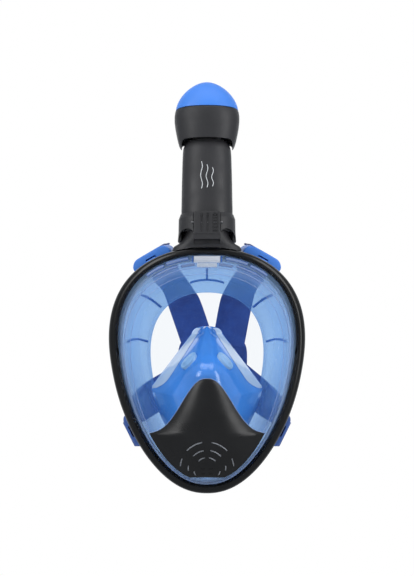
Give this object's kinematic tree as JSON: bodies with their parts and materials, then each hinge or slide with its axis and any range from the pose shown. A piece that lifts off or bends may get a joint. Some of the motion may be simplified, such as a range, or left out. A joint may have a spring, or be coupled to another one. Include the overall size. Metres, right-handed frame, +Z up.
{
  "type": "full-face snorkel mask",
  "caption": "Full-face snorkel mask: clear lens in an egg-shaped rim, silicone skirt and nose pocket, dry-top snorkel on the brow, and a strap harness.",
  "frame": {"origin": "centre of the face seal, where the skirt meets the face", "axes": "+Y from the mask into the face, +Z up along the face towards the snorkel, +X to the mask's left"},
  "size_m": [0.1886, 0.2353, 0.393],
  "materials": {
    "gloss_black": "polished black moulding",
    "satin_black": "satin black moulding",
    "azure_plastic": "azure moulded plastic, soft gloss",
    "royal_plastic": "royal blue moulded plastic",
    "azure_silicone": "glossy azure silicone",
    "clear_lens": "clear polycarbonate, polished",
    "blue_skirt": "translucent blue silicone",
    "valve_silicone": "pale translucent silicone",
    "strap_blue": "royal blue woven elastic webbing",
    "steel_pin": "stainless steel",
    "float_white": "off-white foam-filled plastic"
  },
  "bodies": {
    "mask": {"front_frame": "gloss_black", "rear_frame": "satin_black", "lens": "clear_lens", "lens_seal": "valve_silicone", "face_skirt": "blue_skirt", "drain_valve_seat": "satin_black", "chin_cover": "satin_black", "nose_pocket": "azure_silicone", "inhale_seat_left": "satin_black", "inhale_seat_right": "satin_black", "snorkel_socket": "satin_black", "socket_gasket": "valve_silicone", "strap_rear_pad": "strap_blue", "clip_pin_upper_left": "steel_pin", "strap_upper_left": "strap_blue", "clip_pin_upper_right": "steel_pin", "strap_upper_right": "strap_blue", "clip_pin_lower_left": "steel_pin", "strap_lower_left": "strap_blue", "clip_pin_lower_right": "steel_pin", "strap_lower_right": "strap_blue"},
    "snorkel": {"snorkel_tube": "satin_black", "airway_divider_left": "satin_black", "airway_divider_right": "satin_black", "snorkel_collar": "satin_black", "latch_pin": "steel_pin", "head_casing": "satin_black", "valve_seat": "satin_black", "head_cap": "azure_plastic"},
    "latch": {"release_latch": "satin_black"},
    "float": {"float_ring": "float_white", "float_seal": "valve_silicone"},
    "drain_flap": {"drain_flap": "valve_silicone"},
    "inhale_flap_left": {"inhale_flap_left": "valve_silicone"},
    "inhale_flap_right": {"inhale_flap_right": "valve_silicone"},
    "clip_upper_left": {"strap_clip_upper_left": "azure_plastic"},
    "clip_upper_right": {"strap_clip_upper_right": "azure_plastic"},
    "clip_lower_left": {"strap_clip_lower_left": "royal_plastic"},
    "clip_lower_right": {"strap_clip_lower_right": "royal_plastic"}
  },
  "joints": [
    {"name": "snorkel_pull", "type": "slide", "parent": "mask", "child": "snorkel", "axis": [0, 0.1219, 0.9925], "range_m": [0, 0.026]},
    {"name": "latch_press", "type": "hinge", "parent": "snorkel", "child": "latch", "pos_m": [0, -0.06223, 0.1396], "axis": [-1, 0, 0], "range_deg": [0, 3], "stiffness_Nm_per_rad": 0.2},
    {"name": "float_rise", "type": "slide", "parent": "snorkel", "child": "float", "axis": [0, 0.1219, 0.9925], "range_m": [0, 0.0065]},
    {"name": "drain_flap_lift", "type": "slide", "parent": "mask", "child": "drain_flap", "axis": [0, -0.9954, -0.096], "range_m": [0, 0.0015], "stiffness_N_per_m": 40},
    {"name": "inhale_flap_right_lift", "type": "slide", "parent": "mask", "child": "inhale_flap_right", "axis": [0.6514, 0.406, -0.641], "range_m": [0, 0.0012], "stiffness_N_per_m": 40},
    {"name": "inhale_flap_left_lift", "type": "slide", "parent": "mask", "child": "inhale_flap_left", "axis": [-0.6514, 0.406, -0.641], "range_m": [0, 0.0012], "stiffness_N_per_m": 40},
    {"name": "clip_upper_left_swing", "type": "hinge", "parent": "mask", "child": "clip_upper_left", "pos_m": [0.05215, -0.02558, 0.10412], "axis": [0.8589, 0.1911, -0.4752], "range_deg": [-8, 12]},
    {"name": "clip_upper_right_swing", "type": "hinge", "parent": "mask", "child": "clip_upper_right", "pos_m": [-0.05213, -0.02559, 0.10417], "axis": [0.8526, -0.1928, 0.4856], "range_deg": [-8, 12]},
    {"name": "clip_lower_left_swing", "type": "hinge", "parent": "mask", "child": "clip_lower_left", "pos_m": [0.07021, -0.02102, -0.05927], "axis": [-0.4483, -0.1323, -0.884], "range_deg": [-8, 12]},
    {"name": "clip_lower_right_swing", "type": "hinge", "parent": "mask", "child": "clip_lower_right", "pos_m": [-0.0702, -0.02102, -0.05926], "axis": [-0.4535, 0.1329, 0.8813], "range_deg": [-8, 12]}
  ]
}
